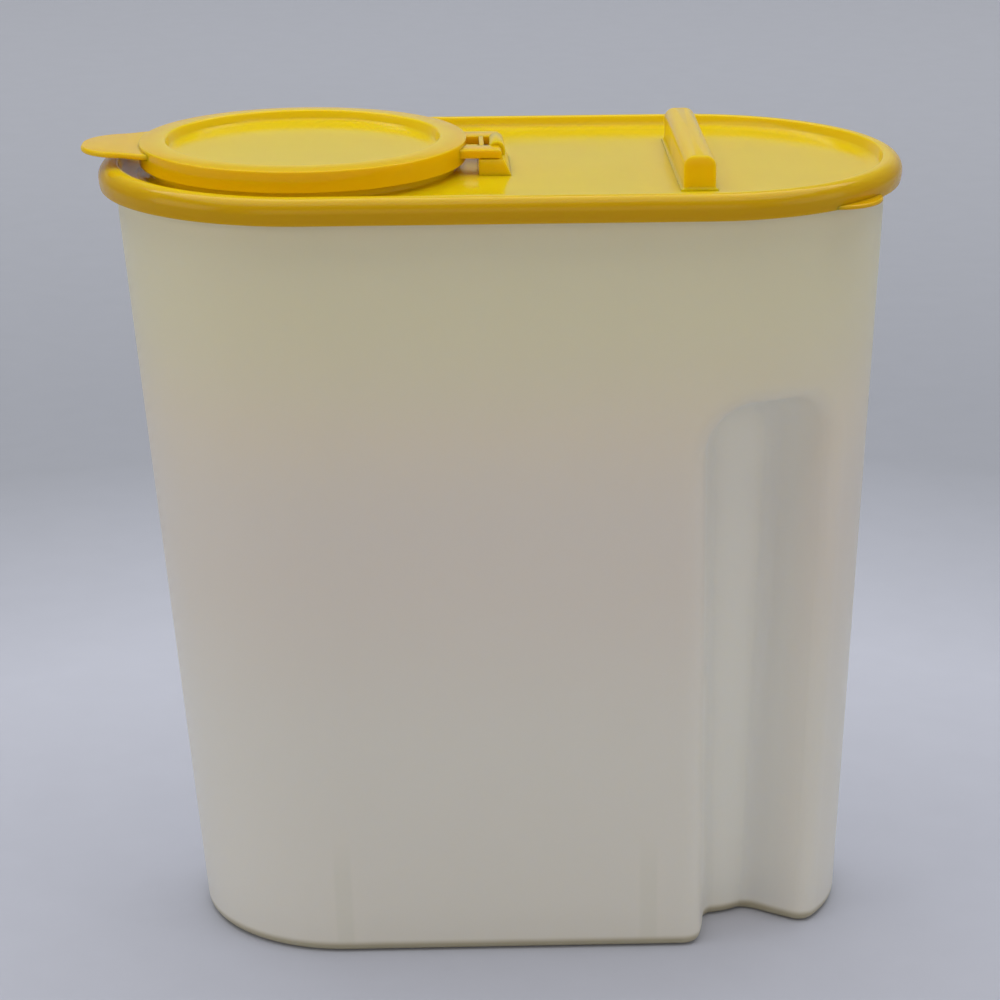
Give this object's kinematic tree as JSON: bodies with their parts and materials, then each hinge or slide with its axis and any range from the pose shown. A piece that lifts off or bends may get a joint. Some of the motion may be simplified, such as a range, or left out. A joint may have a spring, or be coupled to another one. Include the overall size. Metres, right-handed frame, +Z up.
{
  "type": "cereal keeper",
  "caption": "Tapered oval food keeper with a translucent body, recessed grips, a press-on lid and a round flip cap over the pour opening.",
  "frame": {"origin": "on the flat underside of the base, below the middle of the lid", "axes": "+Z up, +X along the oval from the pour end to the grip end, +Y to the back"},
  "size_m": [0.2449, 0.1248, 0.2462],
  "materials": {
    "milky_plastic": "translucent milky polypropylene, satin",
    "lid_plastic": "smooth yellow polyethylene, semi-gloss",
    "cap_plastic": "smooth yellow polyethylene, semi-gloss"
  },
  "bodies": {
    "body": {"body": "milky_plastic"},
    "lid": {"lid": "lid_plastic"},
    "cap": {"cap": "cap_plastic"}
  },
  "joints": [
    {"name": "lid_lift", "type": "slide", "parent": "body", "child": "lid", "axis": [0, 0, 1], "range_m": [0, 0.06]},
    {"name": "cap_hinge", "type": "hinge", "parent": "lid", "child": "cap", "pos_m": [-0.0013, 0, 0.2427], "axis": [0, 1, 0], "range_deg": [0, 176]}
  ]
}
